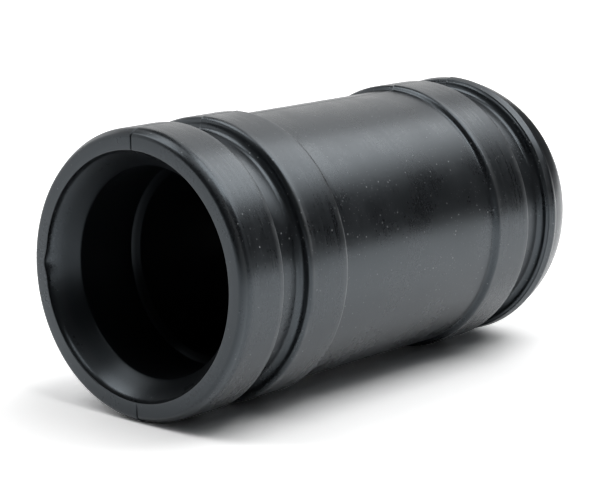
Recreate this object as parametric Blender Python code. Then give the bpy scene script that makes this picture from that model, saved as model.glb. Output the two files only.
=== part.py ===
"""Flexible rubber pipe coupling: one moulded sleeve that joins two pipe ends.

Lengths are metres and +Z is up. The sleeve stands on its nose end, with its axis on Z and the middle of that end
at the origin. Down its outside it has a square lip, a clamp groove, a raised ring, the plain body, a second ring,
a second clamp groove and a domed nose. Inside, each end is a pipe socket that stops at a sloped shoulder.
"""

import math

import bmesh
import bpy
from mathutils import Vector

# The pipe that each socket takes, and the room around it
PIPE_DIAMETER = 0.0430
PIPE_CLEARANCE = 0.0003
SOCKET_DEPTH = 0.0207
STOP_HEIGHT = 0.0015
STOP_SLOPE_LENGTH = 0.0015
STOP_ROUNDING = 0.0006

# The square lip at the top, with the wide lead-in inside its mouth
LIP_DIAMETER = 0.0600
LIP_WIDTH = 0.0129
LIP_FACE_ROUNDING = 0.0027
LIP_BACK_ROUNDING = 0.0005
MOUTH_DIAMETER = 0.0512
MOUTH_DEPTH = 0.0064
MOUTH_EDGE_ROUNDING = 0.0003

# The two clamp grooves, each cut below the lip or the nose beside it
GROOVE_WIDTH = 0.0077
GROOVE_DEPTH = 0.0028
GROOVE_FILLET = 0.0008

# The two raised rings, one at each end of the body
RING_DIAMETER = 0.0603
RING_WIDTH = 0.0119
RING_ROUNDING = 0.0014
RING_FOOT_SLOPE = 0.0010

# The plain body between the rings
BODY_DIAMETER = 0.0578
BODY_LENGTH = 0.0493
BODY_FILLET = 0.0010

# The domed nose that the sleeve stands on. Its outer side is part of an ellipse, as wide as the lip at its widest,
# which is a little way above the nose's back.
NOSE_WIDTH = 0.0120
NOSE_BACK_ROUNDING = 0.0025
NOSE_DOME_RISE = 0.0020
NOSE_DOME_LENGTH = 0.0155
NOSE_DOME_DEPTH = 0.0093
NOSE_TIP_ROUNDING = 0.0006
NOSE_MOUTH_DIAMETER = 0.0452
NOSE_MOUTH_DEPTH = 0.0010

# How finely the round shapes are divided, and the part of a side that its two corners' arcs may take up together
TURN_STEPS = 56
ARC_STEP = math.radians(30)
DOME_STEPS = 6
SIDE_USED = 0.96
SHARP_ANGLE = math.radians(35)

RUBBER_COLOUR = (0.0100, 0.0104, 0.0112, 1.0)
RUBBER_ROUGHNESS = 0.32


def corner_arc(before, corner, after, rounding, room):
    """Points that take an outline round one corner on an arc, which the room along its two sides may limit."""
    back = before - corner
    ahead = after - corner
    half_angle = back.angle(ahead) / 2
    reach = min(rounding / math.tan(half_angle), room)
    radius = reach * math.tan(half_angle)
    centre = corner + (back.normalized() + ahead.normalized()).normalized() * radius / math.sin(half_angle)
    start = corner + back.normalized() * reach - centre
    end = corner + ahead.normalized() * reach - centre
    turn = start.angle_signed(end)
    steps = max(1, math.ceil(abs(turn) / ARC_STEP))
    return [centre + turned(start, turn * step / steps) for step in range(steps + 1)]


def turned(arm, angle):
    """The same arm after a turn, measured the way that angle_signed measures it."""
    sine = math.sin(-angle)
    cosine = math.cos(angle)
    return Vector((arm.x * cosine - arm.y * sine, arm.x * sine + arm.y * cosine))


def room_beside(corner, rounding, neighbour, neighbour_rounding):
    """How far along their common side a corner's arc may start: its share by the two corners' roundings."""
    share = rounding / (rounding + neighbour_rounding)
    return SIDE_USED * share * (neighbour - corner).length


def rounded_outline(corners):
    """Closed outline of radius and height through the corners, each one swept by its own rounding."""
    points = []
    for index, (corner, rounding) in enumerate(corners):
        before, rounding_before = corners[index - 1]
        after, rounding_after = corners[(index + 1) % len(corners)]
        if rounding == 0:
            points.append(corner)
            continue
        room = min(
            room_beside(corner, rounding, before, rounding_before),
            room_beside(corner, rounding, after, rounding_after),
        )
        points.extend(corner_arc(before, corner, after, rounding, room))
    return points


def nose_corners(widest):
    """Points round the nose's back and down its ellipse, to its tip at height zero. Only the ends are rounded."""
    middle = NOSE_WIDTH + NOSE_DOME_RISE
    first = math.asin((NOSE_DOME_RISE + NOSE_BACK_ROUNDING) / NOSE_DOME_LENGTH)
    last = math.asin(middle / NOSE_DOME_LENGTH)
    corners = [(Vector((widest, NOSE_WIDTH)), NOSE_BACK_ROUNDING)]
    for step in range(DOME_STEPS + 1):
        angle = first + (last - first) * step / DOME_STEPS
        radius = widest - NOSE_DOME_DEPTH * (1 - math.cos(angle))
        corners.append((Vector((radius, middle - NOSE_DOME_LENGTH * math.sin(angle))), 0))
    corners[-1] = (corners[-1][0], NOSE_TIP_ROUNDING)
    return corners


def sleeve_outline():
    """Outline of the whole sleeve: down the outside from the mouth, then up through the bore."""
    lip = LIP_DIAMETER / 2
    groove = lip - GROOVE_DEPTH
    ring = RING_DIAMETER / 2
    body = BODY_DIAMETER / 2
    socket = PIPE_DIAMETER / 2 + PIPE_CLEARANCE
    stop = socket - STOP_HEIGHT
    lower_groove_foot = NOSE_WIDTH
    lower_ring_foot = lower_groove_foot + GROOVE_WIDTH
    lower_ring_top = lower_ring_foot + RING_WIDTH
    upper_ring_foot = lower_ring_top + BODY_LENGTH
    upper_ring_top = upper_ring_foot + RING_WIDTH
    lip_foot = upper_ring_top + GROOVE_WIDTH
    top = lip_foot + LIP_WIDTH
    upper_stop = top - SOCKET_DEPTH
    corners = [
        (Vector((MOUTH_DIAMETER / 2, top)), MOUTH_EDGE_ROUNDING),
        (Vector((lip, top)), LIP_FACE_ROUNDING),
        (Vector((lip, lip_foot)), LIP_BACK_ROUNDING),
        (Vector((groove, lip_foot)), GROOVE_FILLET),
        (Vector((groove, upper_ring_top)), GROOVE_FILLET),
        (Vector((ring, upper_ring_top)), RING_ROUNDING),
        (Vector((ring, upper_ring_foot + RING_FOOT_SLOPE)), RING_ROUNDING),
        (Vector((body, upper_ring_foot)), BODY_FILLET),
        (Vector((body, lower_ring_top)), BODY_FILLET),
        (Vector((ring, lower_ring_top - RING_FOOT_SLOPE)), RING_ROUNDING),
        (Vector((ring, lower_ring_foot)), RING_ROUNDING),
        (Vector((groove, lower_ring_foot)), GROOVE_FILLET),
        (Vector((groove, lower_groove_foot)), GROOVE_FILLET),
    ]
    corners += nose_corners(lip)
    corners += [
        (Vector((NOSE_MOUTH_DIAMETER / 2, 0)), MOUTH_EDGE_ROUNDING),
        (Vector((socket, NOSE_MOUTH_DEPTH)), 0),
        (Vector((socket, SOCKET_DEPTH)), STOP_ROUNDING),
        (Vector((stop, SOCKET_DEPTH + STOP_SLOPE_LENGTH)), STOP_ROUNDING),
        (Vector((stop, upper_stop - STOP_SLOPE_LENGTH)), STOP_ROUNDING),
        (Vector((socket, upper_stop)), STOP_ROUNDING),
        (Vector((socket, top - MOUTH_DEPTH)), 0),
    ]
    return rounded_outline(corners)


def black_rubber():
    """Dull black moulded rubber."""
    material = bpy.data.materials.new("black_rubber")
    material.use_nodes = True
    surface = material.node_tree.nodes["Principled BSDF"]
    surface.inputs["Base Color"].default_value = RUBBER_COLOUR
    surface.inputs["Roughness"].default_value = RUBBER_ROUGHNESS
    surface.inputs["Metallic"].default_value = 0.0
    return material


def coupling_sleeve():
    """The sleeve itself: its outline turned once around the axis."""
    shape = bmesh.new()
    ring = [shape.verts.new((point.x, 0, point.y)) for point in sleeve_outline()]
    edges = [shape.edges.new((ring[index - 1], ring[index])) for index in range(len(ring))]
    bmesh.ops.spin(
        shape,
        geom=ring + edges,
        cent=(0, 0, 0),
        axis=(0, 0, 1),
        angle=math.tau,
        steps=TURN_STEPS,
        use_merge=True,
    )
    bmesh.ops.recalc_face_normals(shape, faces=shape.faces)
    mesh = bpy.data.meshes.new("coupling_sleeve")
    shape.to_mesh(mesh)
    shape.free()
    mesh.shade_smooth()
    mesh.set_sharp_from_angle(angle=SHARP_ANGLE)
    mesh.materials.append(black_rubber())
    sleeve = bpy.data.objects.new("coupling_sleeve", mesh)
    bpy.context.scene.collection.objects.link(sleeve)
    return sleeve


for old in list(bpy.data.objects):
    bpy.data.objects.remove(old, do_unlink=True)

coupling_sleeve()
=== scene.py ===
"""Flexible rubber pipe coupling, lying on a white table as it does in the photograph.

Lengths are metres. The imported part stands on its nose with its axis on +Z, so the camera, the lamps and the
table are turned round it instead: the table is the plane that its two raised rings lie on.
"""

import math

import bpy
import numpy as np
from mathutils import Matrix, Vector


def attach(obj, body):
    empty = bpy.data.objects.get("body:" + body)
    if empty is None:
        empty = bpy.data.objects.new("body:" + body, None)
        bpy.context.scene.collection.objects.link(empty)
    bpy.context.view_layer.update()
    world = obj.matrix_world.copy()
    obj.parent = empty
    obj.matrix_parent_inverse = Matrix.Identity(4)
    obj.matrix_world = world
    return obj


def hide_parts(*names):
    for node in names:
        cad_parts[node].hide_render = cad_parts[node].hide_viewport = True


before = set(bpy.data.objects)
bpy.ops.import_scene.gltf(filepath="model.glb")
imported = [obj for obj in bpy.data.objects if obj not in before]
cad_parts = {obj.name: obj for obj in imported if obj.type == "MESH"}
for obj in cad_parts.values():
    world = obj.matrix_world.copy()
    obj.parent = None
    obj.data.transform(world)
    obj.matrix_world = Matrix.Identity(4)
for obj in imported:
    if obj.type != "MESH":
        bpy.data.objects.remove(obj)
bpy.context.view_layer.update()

# The camera. It stands before the mouth, to one side of the sleeve's axis, and looks down on the table.
# The sleeve's axis is +Z, and table_up is the side of it that faces up as it lies there.
TABLE_UP_AZIMUTH = math.radians(-12.7)
SLEEVE_LENGTH = 0.1134
LENS_MM = 126.946
CAMERA_DISTANCE = 0.42187
MOUTH_RIGHT = -0.03372
MOUTH_DOWN = 0.00577
AXIS_TILT = 0.2364
AXIS_DEPTH = 0.8150

SENSOR_WIDTH_MM = 36
NEAREST_SEEN = 0.01
FARTHEST_SEEN = 20

axis_up = Vector((0, 0, 1))
table_up = Vector((math.cos(TABLE_UP_AZIMUTH), math.sin(TABLE_UP_AZIMUTH), 0))
table_side = table_up.cross(axis_up)
axis_right = math.cos(AXIS_TILT) * math.cos(AXIS_DEPTH)
axis_drop = -math.sin(AXIS_TILT) * math.cos(AXIS_DEPTH)
axis_ahead = math.sin(AXIS_DEPTH)
# In the camera's own directions, which are right, down and ahead: the way from the mouth to the nose, then
# table_up, table_side and the middle of the mouth
to_nose = Vector((axis_right, axis_drop, axis_ahead))
up_seen = Vector((0, -axis_ahead, axis_drop)).normalized()
side_seen = to_nose.cross(up_seen)
mouth_seen = Vector((MOUTH_RIGHT, MOUTH_DOWN, CAMERA_DISTANCE))
mouth_middle = axis_up * SLEEVE_LENGTH


def seen_to_frame(seen):
    """Turns a direction given as right, down and ahead of the camera into the sleeve's frame."""
    return table_side * seen.dot(side_seen) + table_up * seen.dot(up_seen) - axis_up * seen.dot(to_nose)


right = seen_to_frame(Vector((1, 0, 0)))
down = seen_to_frame(Vector((0, 1, 0)))
ahead = seen_to_frame(Vector((0, 0, 1)))
camera_data = bpy.data.cameras.new("camera")
camera_data.lens = LENS_MM
camera_data.sensor_width = SENSOR_WIDTH_MM
camera_data.clip_start = NEAREST_SEEN
camera_data.clip_end = FARTHEST_SEEN
camera = bpy.data.objects.new("camera", camera_data)
bpy.context.scene.collection.objects.link(camera)
turn = Matrix((right, -down, -ahead)).transposed()
camera.matrix_world = Matrix.Translation(mouth_middle - seen_to_frame(mouth_seen)) @ turn.to_4x4()
bpy.context.scene.camera = camera

# The sleeve: one piece of black rubber, moulded round a core, that the pipes' ends push into. The two
# halves of the mould leave a thin ridge along it on two sides. It is fixed to nothing, and lies on its two
# raised rings. Radii and heights run from the mouth down the outside, then up the bore.
LIP_RADIUS = 0.0300
LIP_FOOT = 0.1005
LIP_FACE_RADIUS = 0.0288
LIP_FACE_ROUNDING = 0.0011
LIP_FACE_DROP = 0.0019
LIP_FRONT_ROUNDING = 0.0028
LIP_BACK_ROUNDING = 0.0009
MOUTH_RADIUS = 0.0256
MOUTH_FOOT = 0.1070
MOUTH_EDGE_ROUNDING = 0.0002
MOUTH_BURR_WIDTH = 0.0001
MOUTH_BURR_DEPTH = 0.00045
LEAD_IN_ROUNDING = 0.0012
GROOVE_RADIUS = 0.0272
GROOVE_NEAR_FILLET = 0.0030
GROOVE_FAR_FILLET = 0.0018
UPPER_RING = (0.0809, 0.0928)
LOWER_RING = (0.0197, 0.0316)
RING_CREST = 0.03006
RING_ROUNDING = 0.0014
RING_FOOT_SLOPE = 0.0007
BODY_RADIUS = 0.0289
RING_BACK_ROUNDING = 0.0011
BODY_FILLET = 0.0007
NOSE_BACK = 0.0120
NOSE_BACK_ROUNDING = 0.0025
NOSE_WALL_RADIUS = 0.0289
NOSE_WALL_ROUNDING = 0.0005
NOSE_LINE_HEIGHT = 0.0115
NOSE_LINE_DEPTH = 0.0003
NOSE_LINE_ROUNDING = 0.0001
NOSE_RIM_ROUNDING = 0.0002
NOSE_CREST_ROUNDING = 0.0016
NOSE_DOME_RISE = 0.0020
NOSE_DOME_LENGTH = 0.0155
NOSE_DOME_DEPTH = 0.0093
NOSE_DOME_POINTS = 24
NOSE_TIP_ROUNDING = 0.0006
NOSE_MOUTH_RADIUS = 0.0226
NOSE_MOUTH_FOOT = 0.0010
SOCKET_RADIUS = 0.0218
STOP_RADIUS = 0.0203
SOCKET_FLOORS = (0.0207, 0.0927)
STOP_SLOPE = 0.0015
STOP_ROUNDING = 0.0006

SEAM_AZIMUTHS = (TABLE_UP_AZIMUTH + math.radians(0.5), TABLE_UP_AZIMUTH + math.radians(180.5))
SEAM_HEIGHT = 0.00012
SEAM_HALF_WIDTH = 0.00016
SEAM_CUT_DEPTH = 0.0006
SEAM_CUT_HALF_WIDTH = 0.00013
SEAM_CUT_STARTS = (0.0253, 0.0268)
SEAM_CUT_REACH = 0.0030
SEAM_CUT_FADE = 0.0004
SEAM_CUT_END_FADE = 0.0002
SEAM_STEP = 0.00007
SEAM_STEP_TURN = 0.3
SEAM_ROWS = 21
SEAM_ROWS_REACH = 3.5
SEAM_ROWS_CLEAR = 1.2
OUTER_SIDE_FROM = 0.0268
OUTER_SIDE_FADE = 0.0006
NICK_AZIMUTH = TABLE_UP_AZIMUTH + math.radians(90.7)
NICK_HALF_TURN = math.radians(3.5)
NICK_DEPTH = 0.0006
NICK_REACH = 0.0020
NICK_FADE = 0.0014
NICK_EDGE_RADIUS = 0.0260
NICK_EDGE_FADE = 0.0006
MOUTH_SKEW = 0.0015
MOUTH_SKEW_AZIMUTH = TABLE_UP_AZIMUTH - math.radians(87)
MOUTH_OUT_OF_ROUND = 0.0173
NOSE_OUT_OF_ROUND = 0.0038
OUT_OF_ROUND_AZIMUTH = TABLE_UP_AZIMUTH - math.radians(32.3)
OUTLINE_STEP = 0.0013
ARC_STEP = math.radians(9)
SIDE_USED = 0.96
TURN_STEPS = 200


def rounded(corners):
    """Closed outline through corners of radius, height and rounding. Each corner becomes an arc that
    touches both of its sides, where two arcs share a side by their roundings. An arc's point is the sum of
    its start and its end as seen from its middle, each times the sine of the angle left to the other, over
    the sine of the whole sweep. Each side is a row of points OUTLINE_STEP apart."""
    places = np.array([corner[:2] for corner in corners])
    roundings = np.array([corner[2] for corner in corners])
    back = np.roll(places, 1, 0) - places
    ahead = np.roll(places, -1, 0) - places
    back_length = np.linalg.norm(back, axis=1)
    ahead_length = np.linalg.norm(ahead, axis=1)
    back = back / back_length[:, None]
    ahead = ahead / ahead_length[:, None]
    half = np.arccos(np.clip((back * ahead).sum(1), -1, 1)) / 2
    share_back = roundings / np.maximum(roundings + np.roll(roundings, 1), 1e-9)
    share_ahead = roundings / np.maximum(roundings + np.roll(roundings, -1), 1e-9)
    reach = np.minimum(roundings / np.tan(half), SIDE_USED * back_length * share_back)
    reach = np.minimum(reach, SIDE_USED * ahead_length * share_ahead)
    runs = []
    for index, place in enumerate(places):
        if reach[index] == 0:
            runs.append(place[None, :])
            continue
        sweep = math.pi - 2 * half[index]
        bisector = back[index] + ahead[index]
        away = reach[index] / math.cos(half[index])
        middle = place + bisector / np.linalg.norm(bisector) * away
        start = place + back[index] * reach[index] - middle
        end = place + ahead[index] * reach[index] - middle
        part = np.linspace(0, 1, max(2, math.ceil(sweep / ARC_STEP)) + 1)[:, None]
        arc = np.sin((1 - part) * sweep) * start + np.sin(part * sweep) * end
        runs.append(middle + arc / math.sin(sweep))
    filled = []
    for index, run in enumerate(runs):
        gap = runs[(index + 1) % len(runs)][0] - run[-1]
        count = max(1, math.ceil(np.linalg.norm(gap) / OUTLINE_STEP))
        filled.append(run)
        filled.append(run[-1] + np.arange(1, count)[:, None] / count * gap)
    return np.concatenate(filled)


def nose_corners():
    """The nose's outer side: its rounded back, and part of an ellipse whose radius falls by the cosine of
    an angle as its height falls by the sine, down to the tip."""
    middle = NOSE_BACK + NOSE_DOME_RISE
    first = math.asin((NOSE_DOME_RISE + NOSE_BACK_ROUNDING) / NOSE_DOME_LENGTH)
    angles = np.linspace(first, math.asin(middle / NOSE_DOME_LENGTH), NOSE_DOME_POINTS)
    radii = LIP_RADIUS - NOSE_DOME_DEPTH * (1 - np.cos(angles))
    heights = middle - NOSE_DOME_LENGTH * np.sin(angles)
    dome = [(radius, height, 0) for radius, height in zip(radii, heights)]
    wall_top = (NOSE_WALL_RADIUS, NOSE_BACK - NOSE_LINE_ROUNDING, NOSE_WALL_ROUNDING)
    line_floor = (NOSE_WALL_RADIUS + NOSE_LINE_DEPTH, NOSE_LINE_HEIGHT, NOSE_LINE_ROUNDING)
    rim = (NOSE_WALL_RADIUS + 2 * NOSE_LINE_DEPTH, NOSE_LINE_HEIGHT - NOSE_LINE_ROUNDING, NOSE_RIM_ROUNDING)
    crest = (LIP_RADIUS, NOSE_BACK - NOSE_BACK_ROUNDING, NOSE_CREST_ROUNDING)
    return [wall_top, line_floor, rim, crest, *dome[1:-1], (radii[-1], 0, NOSE_TIP_ROUNDING)]


sleeve_outline = rounded(
    [
        (MOUTH_RADIUS, SLEEVE_LENGTH, MOUTH_EDGE_ROUNDING),
        (LIP_FACE_RADIUS, SLEEVE_LENGTH, LIP_FACE_ROUNDING),
        (LIP_RADIUS, SLEEVE_LENGTH - LIP_FACE_DROP, LIP_FRONT_ROUNDING),
        (LIP_RADIUS, LIP_FOOT, LIP_BACK_ROUNDING),
        (GROOVE_RADIUS, LIP_FOOT, GROOVE_NEAR_FILLET),
        (GROOVE_RADIUS, UPPER_RING[1], GROOVE_FAR_FILLET),
        (RING_CREST, UPPER_RING[1], RING_ROUNDING),
        (RING_CREST, UPPER_RING[0] + RING_FOOT_SLOPE, RING_BACK_ROUNDING),
        (BODY_RADIUS, UPPER_RING[0], BODY_FILLET),
        (BODY_RADIUS, LOWER_RING[1], BODY_FILLET),
        (RING_CREST, LOWER_RING[1] - RING_FOOT_SLOPE, RING_BACK_ROUNDING),
        (RING_CREST, LOWER_RING[0], RING_ROUNDING),
        (GROOVE_RADIUS, LOWER_RING[0], GROOVE_NEAR_FILLET),
        (GROOVE_RADIUS, NOSE_BACK, GROOVE_FAR_FILLET),
        *nose_corners(),
        (NOSE_MOUTH_RADIUS, 0, MOUTH_EDGE_ROUNDING),
        (SOCKET_RADIUS, NOSE_MOUTH_FOOT, 0),
        (SOCKET_RADIUS, SOCKET_FLOORS[0], STOP_ROUNDING),
        (STOP_RADIUS, SOCKET_FLOORS[0] + STOP_SLOPE, STOP_ROUNDING),
        (STOP_RADIUS, SOCKET_FLOORS[1] - STOP_SLOPE, STOP_ROUNDING),
        (SOCKET_RADIUS, SOCKET_FLOORS[1], STOP_ROUNDING),
        (SOCKET_RADIUS, MOUTH_FOOT, LEAD_IN_ROUNDING),
        (MOUTH_RADIUS + MOUTH_BURR_WIDTH, SLEEVE_LENGTH - MOUTH_BURR_DEPTH, 0),
    ]
)


def turned_from(start, azimuths):
    """How far each azimuth is turned from the start, between minus and plus half a turn."""
    return (azimuths - start + math.pi) % math.tau - math.pi


def grown(values, start, length):
    """0 up to the start, 1 from the start plus the length on, and even between them."""
    return np.clip((values - start) / length, 0, 1)


def turn_azimuths():
    """Azimuths round the sleeve: even steps, with a close row of extra ones across each seam."""
    azimuths = np.arange(TURN_STEPS) * math.tau / TURN_STEPS
    close = np.linspace(-SEAM_ROWS_REACH, SEAM_ROWS_REACH, SEAM_ROWS) * SEAM_HALF_WIDTH / LIP_RADIUS
    for seam in SEAM_AZIMUTHS:
        off = turned_from(seam, azimuths)
        clear_of_seam = azimuths[np.abs(off) > SEAM_ROWS_CLEAR * close[-1]]
        azimuths = np.concatenate([clear_of_seam, (seam + close) % math.tau])
    return np.sort(azimuths)


def sleeve_surface(outline, azimuths):
    """The outline turned round the axis: each point at its radius and height, at every azimuth. On the
    outer side the radius grows by each seam's ridge, a narrow bell shape across it, and by the step where
    the mould's halves met, a hyperbolic tangent across it that dies away to both sides as a wide bell. At
    the mouth a cut of the same bell shape lowers the face, right across it on the first seam and near the
    rim on the second, and takes as much off the rim's radius. A nick widens the mouth's edge as a bell
    shape. Out of round, every radius is scaled by 1 and a small share of the cosine of twice the azimuth,
    a share that grows evenly from nose to mouth. The lip's face is askew, so the lip's height sinks by half
    of 1 plus the cosine of the azimuth, evenly from nothing at its foot to the full skew at the mouth."""
    radius = outline[:, 0][:, None]
    height = outline[:, 1][:, None]
    azimuth = azimuths[None, :]
    outer = grown(radius, OUTER_SIDE_FROM, OUTER_SIDE_FADE)
    face = grown(height, SLEEVE_LENGTH - SEAM_CUT_REACH, SEAM_CUT_FADE)
    face = face * grown(radius, SEAM_CUT_STARTS[0], SEAM_CUT_END_FADE)
    rise = np.zeros((len(outline), len(azimuths)))
    sink = np.zeros((len(outline), len(azimuths)))
    for seam, cut_start in zip(SEAM_AZIMUTHS, SEAM_CUT_STARTS):
        off = turned_from(seam, azimuth)
        across = off * LIP_RADIUS
        rise = rise + outer * SEAM_HEIGHT * np.exp(-((across / SEAM_HALF_WIDTH) ** 2))
        step = np.tanh(across / SEAM_HALF_WIDTH) * np.exp(-((off / SEAM_STEP_TURN) ** 2))
        rise = rise - outer * SEAM_STEP * step
        cut = np.exp(-((across / SEAM_CUT_HALF_WIDTH) ** 2)) * grown(radius, cut_start, SEAM_CUT_END_FADE)
        sink = sink + face * SEAM_CUT_DEPTH * cut
        rise = rise - face * SEAM_CUT_DEPTH * cut * outer
    nick = np.exp(-((turned_from(NICK_AZIMUTH, azimuth) / NICK_HALF_TURN) ** 2))
    edge = grown(height, SLEEVE_LENGTH - NICK_REACH, NICK_FADE)
    edge = edge * (1 - grown(radius, NICK_EDGE_RADIUS, NICK_EDGE_FADE))
    rise = rise + NICK_DEPTH * nick * edge
    out_of_round = NOSE_OUT_OF_ROUND + (MOUTH_OUT_OF_ROUND - NOSE_OUT_OF_ROUND) * height / SLEEVE_LENGTH
    oval = 1 + out_of_round * np.cos(2 * (azimuth - OUT_OF_ROUND_AZIMUTH))
    full = radius * oval + rise
    skew = MOUTH_SKEW * (1 + np.cos(azimuth - MOUTH_SKEW_AZIMUTH)) / 2
    lip_share = grown(height, LIP_FOOT, SLEEVE_LENGTH - LIP_FOOT)
    low = np.maximum(height - sink - skew * lip_share, 0)
    return np.stack([full * np.cos(azimuth), full * np.sin(azimuth), low], 2)


def closed_both_ways(grid):
    """Quads of a grid of points whose rows and columns both close on themselves."""
    rows, columns = grid.shape[:2]
    place = np.arange(rows * columns).reshape(rows, columns)
    below = np.roll(place, -1, 0)
    return np.stack([place, below, np.roll(below, -1, 1), np.roll(place, -1, 1)], 2).reshape(-1, 4)


sleeve_grid = sleeve_surface(sleeve_outline, turn_azimuths())
sleeve_mesh = bpy.data.meshes.new("rubber_sleeve")
sleeve_mesh.from_pydata(sleeve_grid.reshape(-1, 3).tolist(), [], closed_both_ways(sleeve_grid).tolist())
sleeve_mesh.shade_smooth()
sleeve_mesh.update()
sleeve = bpy.data.objects.new("rubber_sleeve", sleeve_mesh)
bpy.context.scene.collection.objects.link(sleeve)

# Each crest edge with a painted highlight line: its radius and height, how far the line reaches and how
# strong it is
PAINTED_HIGHLIGHT_CRESTS = (
    (LIP_RADIUS - 0.0006, SLEEVE_LENGTH - 0.0010, 0.00030, 0.7),
    (LIP_RADIUS, LIP_FOOT + 0.0004, 0.00035, 1.0),
    (RING_CREST, UPPER_RING[1] - 0.0008, 0.00035, 1.0),
    (RING_CREST, UPPER_RING[0] + 0.0009, 0.00040, 1.0),
    (RING_CREST, LOWER_RING[1] - 0.0012, 0.00030, 0.4),
    (RING_CREST, LOWER_RING[0] + 0.0006, 0.00035, 0.9),
    (NOSE_WALL_RADIUS + 0.0007, NOSE_LINE_HEIGHT - 0.0004, 0.00025, 0.8),
    (MOUTH_RADIUS, SLEEVE_LENGTH, 0.00025, 0.5),
)
# How much painted shade the mouth's face takes, and where the painted shade of the lead-in, the bore and the
# stops fades in
CUT_FACE_SHADE_SHARE = 0.45
CUT_FACE_DEPTH = 0.0010
CUT_FACE_FADE = 0.0008
LEAD_IN_FADE = 0.0020
STOP_FADE = 0.0003
DARK_FROM = 0.0020
DARK_FADE = 0.0020
RUBBED_FROM = 0.0292
RUBBED_FADE = 0.0004
LEAST_RUBBED = 0.35


def outline_marks(outline):
    """Four values for each point of the outline. The first is a painted highlight line, a bell shape round
    each crest of its edges. Inside is 0 on the outer side, part way up on the mouth's face and 1 in the bore,
    and deep is 1 on the stops and between them; both lay painted shade on the rubber. Rubbed is 1 on the lip,
    the rings and the nose and less between those. Each goes evenly from one value to the next over its fade."""
    radius, height = outline.T
    edge_highlight = np.zeros(len(outline))
    for crest_radius, crest_height, reach, share in PAINTED_HIGHLIGHT_CRESTS:
        off = np.hypot(radius - crest_radius, height - crest_height)
        edge_highlight = np.maximum(edge_highlight, share * np.exp(-((off / reach) ** 2)))
    cut_face = CUT_FACE_SHADE_SHARE * grown(height, SLEEVE_LENGTH - CUT_FACE_DEPTH, CUT_FACE_FADE)
    inside = np.maximum(cut_face, 1 - grown(radius, MOUTH_RADIUS - LEAD_IN_FADE, LEAD_IN_FADE))
    deep = (1 - grown(radius, SOCKET_RADIUS - STOP_FADE, STOP_FADE)) * grown(height, DARK_FROM, DARK_FADE)
    rubbed = LEAST_RUBBED + (1 - LEAST_RUBBED) * grown(radius, RUBBED_FROM, RUBBED_FADE)
    return edge_highlight, inside, deep, rubbed


for name, values in zip(("edge_highlight", "inside", "deep", "rubbed"), outline_marks(sleeve_outline)):
    attribute = sleeve_mesh.attributes.new(name, "FLOAT", "POINT")
    attribute.data.foreach_set("value", np.repeat(values, len(turn_azimuths())).astype(np.float32))

# Black rubber with carbon in it: a faintly bluish sheen, fine streaks round it from rubbing, a soft mottle
# from handling, painted highlight lines along its edges, pale dust that clings to it in specks, and painted
# shade in the bore and on the mouth's face.
RUBBER_TONE = (0.0072, 0.0080, 0.0092, 1)
DUST_AND_HIGHLIGHT_TONE = (0.30, 0.31, 0.32, 1)
SHADED_INNER_TONE = (0.0030, 0.0036, 0.0045, 1)
SHEEN = 0.88
SHADED_INNER_SHEEN = 0.42
SHEEN_TINT = (0.80, 0.91, 1.0, 1)
# How strong the painted highlight lines along the edges are
EDGE_HIGHLIGHT_SHARE = 0.36
DUST_SHARE = 1.15
FILM_SHARE = 0.010
SMOOTHEST = 0.25
DULLEST = 0.34
RUBBING_DULLNESS = 0.035
GRAIN_DULLNESS = 0.02
PALE_DULLNESS = 0.3
STOP_SHADE_SHARE = 0.8
RELIEF_HEIGHT = 0.00006
EVEN = (1, 1, 1)
ROUND_THE_SLEEVE = (1, 1, 40)

rubber = bpy.data.materials.new("black_rubber")
rubber.use_nodes = True
nodes = rubber.node_tree.nodes
links = rubber.node_tree.links
skin = nodes["Principled BSDF"]
skin.inputs["Specular IOR Level"].default_value = SHEEN
skin.inputs["Specular Tint"].default_value = SHEEN_TINT
place_on_sleeve = nodes.new("ShaderNodeTexCoord").outputs["Object"]


def number(operation, first, second, clamp=False):
    """The result of a calculation on two values, each a socket or a plain number."""
    node = nodes.new("ShaderNodeMath")
    node.operation = operation
    node.use_clamp = clamp
    for socket, value in zip(node.inputs, (first, second)):
        if isinstance(value, (int, float)):
            socket.default_value = value
        else:
            links.new(value, socket)
    return node.outputs[0]


def spread(value, low, high, first, last):
    """The value's share of the way from low to high, as a number between first and last."""
    node = nodes.new("ShaderNodeMapRange")
    links.new(value, node.inputs["Value"])
    node.inputs["From Min"].default_value = low
    node.inputs["From Max"].default_value = high
    node.inputs["To Min"].default_value = first
    node.inputs["To Max"].default_value = last
    return node.outputs["Result"]


def noise(stretch, scale, detail):
    """Noise over the sleeve's own coordinates, which stretch scales along each axis first."""
    mapping = nodes.new("ShaderNodeMapping")
    mapping.inputs["Scale"].default_value = stretch
    links.new(place_on_sleeve, mapping.inputs["Vector"])
    node = nodes.new("ShaderNodeTexNoise")
    node.inputs["Scale"].default_value = scale
    node.inputs["Detail"].default_value = detail
    links.new(mapping.outputs[0], node.inputs["Vector"])
    return node.outputs["Fac"]


def specks(scale, radius, seed):
    """Small round specks, one at the middle of each cell of a cell pattern, where the surface comes close
    enough to it. Each cell has its own brightness."""
    mapping = nodes.new("ShaderNodeMapping")
    mapping.inputs["Location"].default_value = (seed, seed, seed)
    links.new(place_on_sleeve, mapping.inputs["Vector"])
    cells = nodes.new("ShaderNodeTexVoronoi")
    cells.inputs["Scale"].default_value = scale
    links.new(mapping.outputs[0], cells.inputs["Vector"])
    speck = spread(cells.outputs["Distance"], radius, radius * 0.4, 0, 1)
    return number("MULTIPLY", speck, cells.outputs["Color"])


def mark(name):
    """One of the mesh's own point values."""
    node = nodes.new("ShaderNodeAttribute")
    node.attribute_name = name
    return node.outputs["Fac"]


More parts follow.
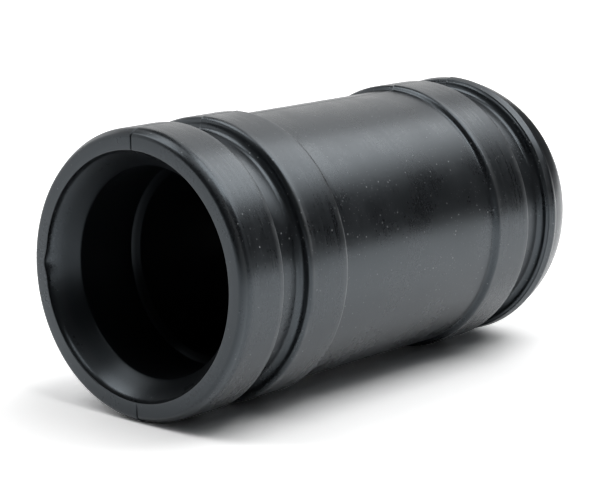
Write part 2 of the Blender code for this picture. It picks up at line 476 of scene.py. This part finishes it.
def blend(share, first, second):
    """A blend of two shaders: the first where the share is 0 and the second where it is 1."""
    node = nodes.new("ShaderNodeMixShader")
    for socket, value in zip(node.inputs, (share, first, second)):
        links.new(value, socket)
    return node.outputs[0]


streaks = noise(ROUND_THE_SLEEVE, 40, 3)
mottle = noise(EVEN, 95, 4)
grain = noise(EVEN, 1300, 3)
patches = noise(EVEN, 45, 2)
inside = mark("inside")

# How pale the rubber is: painted highlight lines along the edges, two sizes of dust that gather in patches,
# and a thin film
edge_highlight = number("MULTIPLY", mark("edge_highlight"), spread(noise(EVEN, 220, 3), 0.35, 0.65, 0.35, 1))
fine_dust = number("MULTIPLY", specks(1200, 0.16, 0.0), spread(patches, 0.42, 0.66, 0, 1))
coarse_dust = number("MULTIPLY", specks(600, 0.13, 0.37), spread(patches, 0.36, 0.60, 0.45, 1))
dust = number("MAXIMUM", number("MULTIPLY", fine_dust, 0.7), coarse_dust)
dust = number("MULTIPLY", dust, number("SUBTRACT", 1, inside, clamp=True))
pale = number("MULTIPLY", edge_highlight, EDGE_HIGHLIGHT_SHARE)
pale = number("ADD", pale, number("MULTIPLY", dust, DUST_SHARE), clamp=True)
rubbing = number("MULTIPLY", spread(streaks, 0.32, 0.68, -1, 1), mark("rubbed"))
film = number("MULTIPLY", number("ADD", spread(mottle, 0.40, 0.70, 0, 1), rubbing), FILM_SHARE)
pale = number("ADD", pale, number("MULTIPLY", film, number("SUBTRACT", 1, inside)), clamp=True)
tone = nodes.new("ShaderNodeMix")
tone.data_type = "RGBA"
tone.inputs["A"].default_value = RUBBER_TONE
tone.inputs["B"].default_value = DUST_AND_HIGHLIGHT_TONE
links.new(pale, tone.inputs["Factor"])
links.new(tone.outputs["Result"], skin.inputs["Base Color"])

# How dull it is: the mottle, then finer streaks and grain, and the pale parts duller than the rest
dullness = number("MULTIPLY", rubbing, RUBBING_DULLNESS)
dullness = number("ADD", dullness, spread(grain, 0.30, 0.70, -GRAIN_DULLNESS, GRAIN_DULLNESS))
dullness = number("ADD", dullness, spread(mottle, 0.30, 0.70, SMOOTHEST, DULLEST))
dullness = number("ADD", dullness, number("MULTIPLY", pale, PALE_DULLNESS))
links.new(dullness, skin.inputs["Roughness"])

# Its fine relief: mottle, grain, streaks and specks of dust
relief = number("ADD", number("MULTIPLY", grain, 0.14), number("MULTIPLY", mottle, 0.5))
relief = number("ADD", relief, number("MULTIPLY", rubbing, 0.03))
relief = number("ADD", relief, number("MULTIPLY", dust, 0.8))
bump = nodes.new("ShaderNodeBump")
bump.inputs["Strength"].default_value = 0.5
bump.inputs["Distance"].default_value = RELIEF_HEIGHT
links.new(relief, bump.inputs["Height"])
links.new(bump.outputs["Normal"], skin.inputs["Normal"])

# Painted shade: the bore and its lead-in, and part way the mouth's face, take a darker copy of the rubber
# with less sheen, and the stops and the bore between them blend further to a matt copy with no sheen
shaded_inner_skin = nodes.new("ShaderNodeBsdfPrincipled")
shaded_inner_skin.inputs["Base Color"].default_value = SHADED_INNER_TONE
shaded_inner_skin.inputs["Roughness"].default_value = DULLEST
shaded_inner_skin.inputs["Specular IOR Level"].default_value = SHADED_INNER_SHEEN
shaded_inner_skin.inputs["Specular Tint"].default_value = SHEEN_TINT
shaded_stops = nodes.new("ShaderNodeBsdfDiffuse")
shaded_stops.inputs["Color"].default_value = SHADED_INNER_TONE
deep = number("MULTIPLY", mark("deep"), STOP_SHADE_SHARE)
shaded_inner_side = blend(deep, shaded_inner_skin.outputs[0], shaded_stops.outputs[0])
links.new(blend(inside, skin.outputs[0], shaded_inner_side), nodes["Material Output"].inputs["Surface"])
sleeve_mesh.materials.append(rubber)

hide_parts("coupling_sleeve")
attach(sleeve, "root")

# The table: a sheet of matt white board under the two rings. It shows from above only, so that it hides
# nothing in views from behind it. The camera and mirror rays see it as white as the room, but for the
# sleeve's shadow.
RING_RADIUS = 0.03015
TABLE_HALF = 0.9
BOARD_TONE = (0.88, 0.88, 0.88, 1)
BOARD_SEEN_TONE = (1.48, 1.48, 1.48, 1)
sleeve_middle = axis_up * SLEEVE_LENGTH / 2


def from_middle(side, up, along):
    """A point from the sleeve's middle: to the side of its axis, above its axis, and along the axis."""
    return sleeve_middle + table_side * side + table_up * up + axis_up * along


table_mesh = bpy.data.meshes.new("table")
table_corners = [
    from_middle(side * TABLE_HALF, -RING_RADIUS, along * TABLE_HALF)
    for side, along in ((-1, -1), (1, -1), (1, 1), (-1, 1))
]
table_mesh.from_pydata([tuple(corner) for corner in table_corners], [], [(0, 1, 2, 3)])
if table_mesh.polygons[0].normal.dot(table_up) < 0:
    table_mesh.flip_normals()
table = bpy.data.objects.new("table", table_mesh)
bpy.context.scene.collection.objects.link(table)
board = bpy.data.materials.new("white_board")
board.use_nodes = True
nodes = board.node_tree.nodes
links = board.node_tree.links
nodes.clear()
output = nodes.new("ShaderNodeOutputMaterial")
seen_white = nodes.new("ShaderNodeBsdfDiffuse")
plain_white = nodes.new("ShaderNodeBsdfDiffuse")
seen_white.inputs["Color"].default_value = BOARD_SEEN_TONE
plain_white.inputs["Color"].default_value = BOARD_TONE
clear = nodes.new("ShaderNodeBsdfTransparent")
path = nodes.new("ShaderNodeLightPath")
which_side = nodes.new("ShaderNodeNewGeometry")
# number and blend make their nodes in the board's material from here on
seen = number("ADD", path.outputs["Is Camera Ray"], path.outputs["Is Glossy Ray"])
seen = number("ADD", seen, path.outputs["Is Transmission Ray"], clamp=True)
upper_side = blend(seen, plain_white.outputs[0], seen_white.outputs[0])
both_sides = blend(which_side.outputs["Backfacing"], upper_side, clear.outputs[0])
links.new(both_sides, output.inputs["Surface"])
table_mesh.materials.append(board)

# The studio: a white room, with soft lamps high on the right, high on the left and nearly overhead. Dark
# cloth hangs in front of the sleeve, beyond its nose, high on its left and overhead. The camera doesn't see
# the cloth.
world = bpy.data.worlds.new("white_room")
bpy.context.scene.world = world
world.use_nodes = True
world.node_tree.nodes["Background"].inputs["Color"].default_value = (1, 1, 1, 1)
world.node_tree.nodes["Background"].inputs["Strength"].default_value = 1.0

camera_place = camera.matrix_world.translation
to_camera = camera_place - sleeve_middle
to_camera = (to_camera - table_up * to_camera.dot(table_up)).normalized()
to_right = table_up.cross(to_camera)


def studio_direction(azimuth_deg, elevation_deg):
    """A direction from the sleeve: azimuth 0 is towards the camera and 90 is to its right, and elevation is
    above the table."""
    azimuth = math.radians(azimuth_deg)
    elevation = math.radians(elevation_deg)
    level = to_camera * math.cos(azimuth) + to_right * math.sin(azimuth)
    return level * math.cos(elevation) + table_up * math.sin(elevation)


def soft_lamp(name, azimuth_deg, elevation_deg, distance, width, height, radiance):
    """A rectangular lamp that faces the sleeve, with its width level. Its power is its radiance times pi
    times its area."""
    data = bpy.data.lights.new(name, "AREA")
    data.shape = "RECTANGLE"
    data.size = width
    data.size_y = height
    data.energy = radiance * math.pi * width * height
    lamp = bpy.data.objects.new(name, data)
    bpy.context.scene.collection.objects.link(lamp)
    away = studio_direction(azimuth_deg, elevation_deg)
    level = table_up.cross(away).normalized()
    turned = Matrix((level, away.cross(level), away)).transposed()
    lamp.matrix_world = Matrix.Translation(sleeve_middle + away * distance) @ turned.to_4x4()


soft_lamp("right_lamp", 115, 50, 1.0, 0.90, 0.44, 2.0)
soft_lamp("left_lamp", -92, 58, 1.0, 0.50, 0.54, 3.7)
soft_lamp("top_lamp", 56, 70, 1.0, 0.60, 0.62, 3.3)

CLOTH_RADIUS = 1.6
CLOTH_ROWS = 16
CLOTH_COLUMNS = 48
CLOTH_TONE = (0.04, 0.04, 0.04, 1)

dark_cloth = bpy.data.materials.new("dark_cloth")
dark_cloth.use_nodes = True
cloth_skin = dark_cloth.node_tree.nodes["Principled BSDF"]
cloth_skin.inputs["Base Color"].default_value = CLOTH_TONE
cloth_skin.inputs["Roughness"].default_value = 1.0
cloth_skin.inputs["Specular IOR Level"].default_value = 0.0


def hanging_cloth(name, azimuths_deg, elevations_deg):
    """A piece of dark cloth on a sphere round the sleeve, between two azimuths and two elevations. Each
    point's direction is the level direction at its azimuth times the cosine of its elevation, plus up times
    the sine."""
    azimuth, elevation = np.meshgrid(
        np.radians(np.linspace(*azimuths_deg, CLOTH_COLUMNS)),
        np.radians(np.linspace(*elevations_deg, CLOTH_ROWS)),
    )
    level = np.cos(azimuth)[..., None] * np.array(to_camera)
    level = level + np.sin(azimuth)[..., None] * np.array(to_right)
    grid = level * np.cos(elevation)[..., None] + np.sin(elevation)[..., None] * np.array(table_up)
    grid = np.array(sleeve_middle) + CLOTH_RADIUS * grid
    place = np.arange(grid.shape[0] * grid.shape[1]).reshape(grid.shape[:2])
    faces = np.stack([place[:-1, :-1], place[:-1, 1:], place[1:, 1:], place[1:, :-1]], 2).reshape(-1, 4)
    mesh = bpy.data.meshes.new(name)
    mesh.from_pydata(grid.reshape(-1, 3).tolist(), [], faces.tolist())
    mesh.materials.append(dark_cloth)
    cloth = bpy.data.objects.new(name, mesh)
    bpy.context.scene.collection.objects.link(cloth)
    cloth.visible_camera = False


hanging_cloth("front_cloth", (-75, 150), (-4, 31))
hanging_cloth("upper_cloth", (-60, 80), (31, 90))
hanging_cloth("left_cloth", (-180, -60), (33, 90))
hanging_cloth("back_cloth", (150, 163), (-3, 31))

bpy.context.scene.view_settings.view_transform = "Standard"
